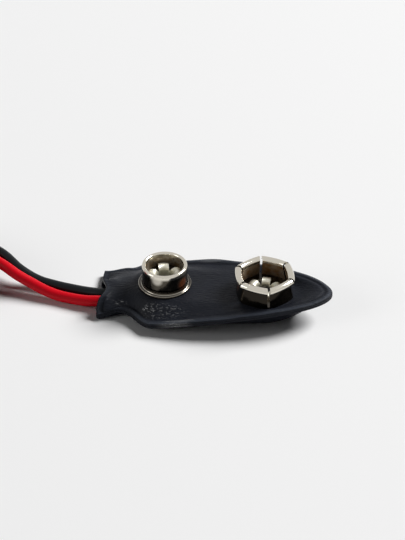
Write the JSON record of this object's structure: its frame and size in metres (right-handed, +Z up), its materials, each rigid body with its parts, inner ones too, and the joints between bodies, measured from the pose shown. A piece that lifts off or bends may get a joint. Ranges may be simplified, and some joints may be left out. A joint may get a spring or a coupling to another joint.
{
  "type": "battery snap",
  "caption": "Soft vinyl battery snap with a round stud and a spring-leaf socket riveted side by side through a welded jacket, and insulated leads leaving its tail.",
  "frame": {"origin": "on the table, below the middle of the jacket, midway between the axes of the stud and the socket", "axes": "+X along the part from the tail where the leads leave to the nose, +Y across it, +Z up along the axes of the contacts"},
  "size_m": [0.0663, 0.0189, 0.006],
  "materials": {
    "vinyl": "soft black vinyl with a faint grain",
    "fibre": "plain hard fibre",
    "nickel": "bright nickel plating on drawn sheet",
    "tinned_brass": "tinned sheet",
    "solder": "dull solder",
    "tinned_copper": "tinned strands",
    "black_insulation": "smooth wire insulation",
    "red_insulation": "smooth wire insulation",
    "tie": "plain soft plastic"
  },
  "bodies": {
    "root": {"top_cover": "vinyl", "bottom_cover": "vinyl", "carrier_board": "fibre", "stud_cup": "nickel", "stud_rivet": "nickel", "stud_tag": "tinned_brass", "stud_solder": "solder", "socket_cup": "nickel", "socket_rivet": "nickel", "socket_tag": "tinned_brass", "socket_solder": "solder", "black_conductor": "tinned_copper", "red_conductor": "tinned_copper", "black_lead": "black_insulation", "red_lead": "red_insulation", "lead_coil": "red_insulation", "coil_tie": "tie", "black_tinned_end": "tinned_copper", "red_tinned_end": "tinned_copper"}
  },
  "joints": []
}
